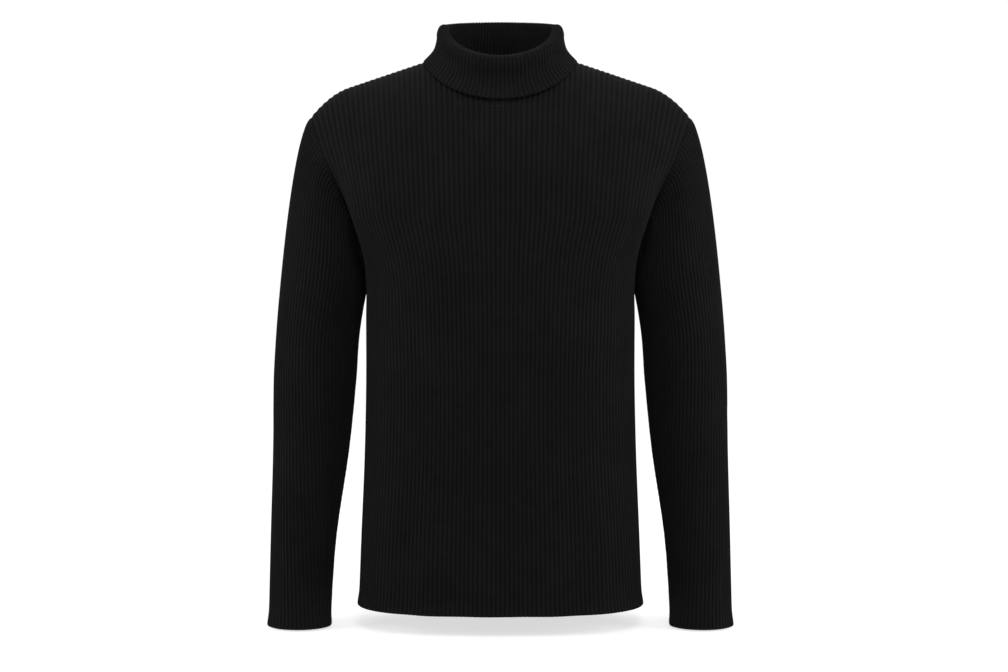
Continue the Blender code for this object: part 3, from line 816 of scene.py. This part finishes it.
def collar_rings(panels, angles):
    """All rings of the collar from its free edge to the neck seam, as rows of points."""
    ahead = np.cos(angles)
    share = np.abs(ahead)
    rows = []
    for ring in COLLAR_RINGS:
        middle = (ring.front + ring.back) / 2
        end = np.where(ahead > 0.0, ring.front, ring.back)
        end_z = np.where(ahead > 0.0, ring.front_z, ring.back_z)
        ramp = share**2 * np.sqrt((1.0 + ring.bend**2) / (share**2 + ring.bend**2))
        y = middle + (end - middle) * share**COLLAR_FULLNESS
        z = ring.side_z + (end_z - ring.side_z) * ramp
        rows.append(np.stack((ring.side * np.sin(angles), y, z), axis=-1))
    quarters = np.abs(angles) / math.radians(90.0)
    front, back = panels[FRONT].neck_edge(), panels[BACK].neck_edge()
    in_front = at_shares(front, front, quarters)
    behind = at_shares(back, back, 2.0 - quarters)
    neck = np.where((quarters <= 1.0)[:, None], in_front, behind)
    neck[:, 0] = np.copysign(neck[:, 0], angles)
    rows.append(neck - unit(rows[-1] - neck) * NECK_SEAM_LAP)
    return np.stack(rows)


def make_collar(name, panels, material):
    turns = np.arange(-COLLAR_COLUMNS // 2, COLLAR_COLUMNS // 2) / COLLAR_COLUMNS
    rings = collar_rings(panels, math.tau * turns)
    last = len(rings) - 1
    rows = []
    for low, count in enumerate(COLLAR_ROWS):
        ends = [max(low - 1, 0), low, low + 1, min(low + 2, last)]
        before, start, end, after = rings[ends]
        start_slope = (end - before) / (ends[2] - ends[0])
        end_slope = (after - start) / (ends[3] - ends[1])
        shares = np.linspace(0.0, 1.0, count + 1)[:-1]
        if low == 0:
            shares = with_close_rows(shares, COLLAR_EDGE_RUN, ("first",))
        rows += [hermite(start, end, start_slope, end_slope, share) for share in shares]
    points = np.stack([*rows, rings[-1]])
    ways = normals_of(points, closed=True)
    ribs = np.broadcast_to(COLLAR_RIBS * np.append(turns, 0.5), (len(points), len(turns) + 1))
    sewn = from_end(points, 0, True) + NECK_SEAM_ROOM
    return build_tube(name, points, ways, ribs, sewn, COLLAR_WALL, 0, material)


# Threads


def thread_tube(shell, path, ways, half_width, half_thickness, swell):
    """A flattened tube along a path, lying against the surface that the ways point from."""
    tangents = unit(np.gradient(path, axis=0))
    aside = unit(np.cross(ways, tangents))
    ways = unit(np.cross(tangents, aside))
    angles = math.tau * np.arange(THREAD_SIDES + 1) / THREAD_SIDES
    wide = (half_width * swell)[:, None, None] * np.cos(angles)[None, :, None]
    thick = (half_thickness * swell)[:, None, None] * np.sin(angles)[None, :, None]
    rings = path[:, None] + wide * aside[:, None] + thick * ways[:, None]
    along = lengths_along(path)[:, None] / THREAD_PITCH
    places = np.stack(np.broadcast_arrays(angles / math.tau, along), axis=-1)
    shell.quads(shell.grid(rings[:, :-1], places, closed=True))


def make_seam(name, runs, material):
    """Overlocked seams along the inside; a run is a row of points with its outward ways."""
    shell = Shell()
    for path, ways in runs:
        count = int(lengths_along(path)[-1] / SEAM_STEP) + 2
        shares = np.linspace(0.0, 1.0, count)
        ways = unit(at_shares(path, ways, shares))
        inward = WALL + SEAM_HALF_THICKNESS * SEAM_STANDOFF
        path = at_shares(path, path, shares) - ways * inward
        loops = 1.0 + SEAM_SWELL * np.sin(math.tau * lengths_along(path) / SEAM_LOOPS)
        thread_tube(shell, path, ways, SEAM_HALF_WIDTH, SEAM_HALF_THICKNESS, loops)
    return shell.finish(name, material)


def make_stitches(name, surface, material):
    """Rows of single stitches that lie across the ribs of the front, below the collar."""
    shell = Shell()
    half_count = int(STITCH_HALF_SPAN / STITCH_PITCH)
    middle, reach = surface.shape[1] // 2, STITCH_REACH * COLUMNS_PER_RIB
    columns = surface[:, middle - reach : middle + reach + 1].transpose(1, 0, 2)
    stations = np.linspace(-1.0, 1.0, STITCH_STATIONS)
    swell = np.sqrt(np.maximum(1.0 - stations**4, STITCH_TIP))
    for height in STITCH_ROWS:
        x, y = (
            np.array([np.interp(height, column[:, 2], column[:, axis]) for column in columns])
            for axis in (0, 1)
        )
        for index in range(-half_count, half_count + 1):
            across = index * STITCH_PITCH + stations * STITCH_HALF_LENGTH
            ahead = np.interp(across, x, y)
            ahead = ahead.min() + (ahead - ahead.min()) * STITCH_FOLLOW - STITCH_RADIUS / 2
            path = np.stack((across, ahead, np.full_like(across, height)), axis=-1)
            ways = np.broadcast_to(STITCH_WAY, path.shape)
            thread_tube(shell, path, ways, STITCH_RADIUS, STITCH_RADIUS, swell)
    return shell.finish(name, material)


# Materials


class Nodes:
    """Short ways to add nodes to one material."""

    def __init__(self, name):
        self.material = bpy.data.materials.new(name)
        self.material.use_nodes = True
        self.tree = self.material.node_tree
        self.shader = self.tree.nodes["Principled BSDF"]

    def put(self, socket, value):
        if isinstance(value, bpy.types.NodeSocket):
            self.tree.links.new(value, socket)
        else:
            socket.default_value = value

    def math(self, operation, *values):
        node = self.tree.nodes.new("ShaderNodeMath")
        node.operation = operation
        for socket, value in zip(node.inputs, values):
            self.put(socket, value)
        return node.outputs[0]

    def noise(self, place, scale):
        node = self.tree.nodes.new("ShaderNodeTexNoise")
        self.put(node.inputs["Vector"], place)
        node.inputs["Scale"].default_value = scale
        node.inputs["Detail"].default_value = NOISE_DETAIL
        return node.outputs["Fac"]

    def ramp(self, value, span, tones):
        node = self.tree.nodes.new("ShaderNodeMapRange")
        for socket, item in zip(node.inputs, (value, *span, *tones)):
            self.put(socket, item)
        return node.outputs[0]


def knit_material(name, black, band=(1.0, 1.0), roughness=KNIT_ROUGHNESS):
    """Matt black rib knit: rows of V stitches on each rib, with fibres and mottling, and painted
    shade in the rib valleys and between the loops.

    The band is painted light on the first courses from an edge: how many rib pitches, and how
    much lighter they are.
    """
    nodes = Nodes(name)
    knit_map = nodes.tree.nodes.new("ShaderNodeUVMap")
    knit_map.uv_map = "Knit"
    split = nodes.tree.nodes.new("ShaderNodeSeparateXYZ")
    nodes.put(split.inputs[0], knit_map.outputs[0])
    rib, course = split.outputs[0], split.outputs[1]
    place = nodes.tree.nodes.new("ShaderNodeTexCoord").outputs["Object"]

    crest = nodes.math("COSINE", nodes.math("MULTIPLY", rib, math.tau))
    crest = nodes.math("MULTIPLY_ADD", crest, -0.5, 0.5)
    wale = nodes.math("FRACT", nodes.math("MULTIPLY", rib, WALES_PER_RIB))
    aside = nodes.math("ABSOLUTE", nodes.math("SUBTRACT", wale, 0.5))
    slant = nodes.math("MULTIPLY", course, COURSES_PER_PITCH)
    slant = nodes.math("MULTIPLY_ADD", aside, LOOP_SLANT, slant)
    loop = nodes.math("SINE", nodes.math("MULTIPLY", slant, math.tau))
    loop = nodes.math("MULTIPLY_ADD", loop, 0.5, 0.5)
    ridge = nodes.math("SUBTRACT", 1.0, nodes.math("MULTIPLY", aside, LOOP_FALL))
    stitch = nodes.math("MULTIPLY", nodes.math("SQRT", loop), ridge)

    fibre, mottle, clouds = (
        nodes.noise(place, noise.scale) for noise in (FIBRE, MOTTLE, CLOUDS)
    )
    # painted shade in the rib valleys and painted light on the crests
    tone = nodes.ramp(crest, (0.0, 1.0), RIB_PAINTED_SHADE_TONES)
    for value, span, tones in (
        # painted shade in the grooves between the loops
        (stitch, (0.0, 1.0), LOOP_PAINTED_SHADE_TONES),
        (mottle, NOISE_SPAN, MOTTLE[1:]),
        (clouds, NOISE_SPAN, CLOUDS[1:]),
        (fibre, NOISE_SPAN, FIBRE[1:]),
        # painted light on the first courses from an edge
        (course, (0.0, band[0]), (band[1], 1.0)),
    ):
        tone = nodes.math("MULTIPLY", tone, nodes.ramp(value, span, tones))
    tone = nodes.math("MULTIPLY", tone, black)
    colour = nodes.tree.nodes.new("ShaderNodeCombineColor")
    for socket in colour.inputs[:3]:
        nodes.put(socket, tone)
    nodes.put(nodes.shader.inputs["Base Color"], colour.outputs[0])

    bump = nodes.tree.nodes.new("ShaderNodeBump")
    bump.inputs["Strength"].default_value = BUMP_SHARE
    bump.inputs["Distance"].default_value = BUMP_HEIGHT
    nodes.put(bump.inputs["Height"], nodes.math("MULTIPLY_ADD", fibre, FIBRE_HEIGHT, stitch))
    nodes.put(nodes.shader.inputs["Normal"], bump.outputs[0])
    rough = nodes.ramp(stitch, (0.0, 1.0), (GROOVE_ROUGHNESS, roughness))
    nodes.put(nodes.shader.inputs["Roughness"], rough)
    nodes.shader.inputs["Specular IOR Level"].default_value = KNIT_SHINE
    nodes.shader.inputs["Sheen Weight"].default_value = KNIT_SHEEN
    nodes.shader.inputs["Sheen Roughness"].default_value = KNIT_SHEEN_ROUGHNESS
    return nodes.material


def floor_material():
    """White paper that stays pale even in shadow."""
    nodes = Nodes("white_floor")
    nodes.shader.inputs["Base Color"].default_value = (FLOOR_WHITE,) * 3 + (1.0,)
    nodes.shader.inputs["Roughness"].default_value = 1.0
    nodes.shader.inputs["Specular IOR Level"].default_value = 0.0
    nodes.shader.inputs["Emission Color"].default_value = (1.0, 1.0, 1.0, 1.0)
    nodes.shader.inputs["Emission Strength"].default_value = FLOOR_GLOW
    return nodes.material


# Pieces


def place_piece(piece, node=None):
    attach(piece, "root")
    if node:
        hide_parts(node)


def seam_runs(panels, left_seams, right_seams):
    """What each overlocked seam follows, by the piece's name, with a material name that nothing
    uses.
    """
    behind = np.array((0.0, SEAM_GAP / 2, 0.0))
    body, yoke = (panels[FRONT].plain[part] + behind for part in ("body", "yoke"))

    def run(points, way):
        return points, np.broadcast_to(way, points.shape)

    up = (0.0, 0.0, 1.0)
    sides = [run(body[:, 0], (-1.0, 0.0, 0.0)), run(body[:, -1], (1.0, 0.0, 0.0))]
    shoulders = (slice(None, SHOULDER_COLUMNS + 1), slice(-SHOULDER_COLUMNS - 1, None))
    armholes, underarms = zip(left_seams, right_seams)
    return {
        "seam_sides": ("body_knit", sides),
        "seam_shoulders": ("body_knit", [run(yoke[-1, cut], up) for cut in shoulders]),
        "seam_neck": ("body_knit", [panel.neck_seam() for panel in panels.values()]),
        "seam_armholes": ("sleeve_knit", armholes),
        "seam_sleeves": ("sleeve_knit", underarms),
    }


def make_pieces():
    body_knit = knit_material("body_knit", KNIT_BLACK, HEM_PAINTED_LIGHT)
    sleeve_knit = knit_material("sleeve_knit", KNIT_BLACK, CUFF_PAINTED_LIGHT)
    collar_knit = knit_material("collar_knit", COLLAR_BLACK)
    thread = knit_material("thread", THREAD_BLACK, roughness=THREAD_ROUGHNESS)
    panels = {FRONT: Panel(FRONT, FRONT_FOLDS), BACK: Panel(BACK, BACK_FOLDS)}
    front = panels[FRONT].build("front_knit", body_knit)
    back = panels[BACK].build("back_knit", body_knit)
    left, *left_seams = make_sleeve(
        "sleeve_left_knit", 1, panels, LEFT_SLEEVE_FOLDS, sleeve_knit
    )
    right, *right_seams = make_sleeve(
        "sleeve_right_knit", -1, panels, RIGHT_SLEEVE_FOLDS, sleeve_knit
    )
    collar = make_collar("collar_knit", panels, collar_knit)
    place_piece(front, "front")
    place_piece(back, "back")
    place_piece(left, "sleeve_left")
    place_piece(right, "sleeve_right")
    place_piece(collar, "collar")

    for name, (slot, runs) in seam_runs(panels, left_seams, right_seams).items():
        place_piece(make_seam(name, runs, thread))
    yoke_surface = panels[FRONT].faces_of("yoke")[0]
    place_piece(make_stitches("neck_stitches", yoke_surface, thread))


def make_stage():
    bpy.ops.mesh.primitive_plane_add(size=FLOOR_SIZE, location=(0.0, 0.0, FLOOR_HEIGHT))
    floor = bpy.context.object
    floor.name = "floor"
    floor.data.materials.append(floor_material())

    world = bpy.data.worlds.new("studio")
    world.use_nodes = True
    background = world.node_tree.nodes["Background"]
    background.inputs["Color"].default_value = (1.0, 1.0, 1.0, 1.0)
    background.inputs["Strength"].default_value = SKY_GLOW
    bpy.context.scene.world = world

    for box in SOFTBOXES:
        light = bpy.data.lights.new("softbox", "AREA")
        light.size, light.spread, light.energy = box.size, math.radians(box.spread), box.energy
        lamp = bpy.data.objects.new("softbox", light)
        lamp.location = (box.x, box.y, box.z)
        aim = Vector((0.0, 0.0, box.aim_z)) - lamp.location
        lamp.rotation_euler = aim.to_track_quat("-Z", "Y").to_euler()
        bpy.context.scene.collection.objects.link(lamp)

    camera = bpy.data.objects.new("camera", bpy.data.cameras.new("camera"))
    camera.data.lens = CAMERA_LENS
    camera.data.sensor_width = CAMERA_SENSOR
    camera.location = CAMERA_PLACE
    camera.rotation_euler = (math.pi / 2 - CAMERA_DIP, 0.0, 0.0)
    bpy.context.scene.collection.objects.link(camera)
    bpy.context.scene.camera = camera
    bpy.context.scene.view_settings.view_transform = "Standard"


make_pieces()
make_stage()
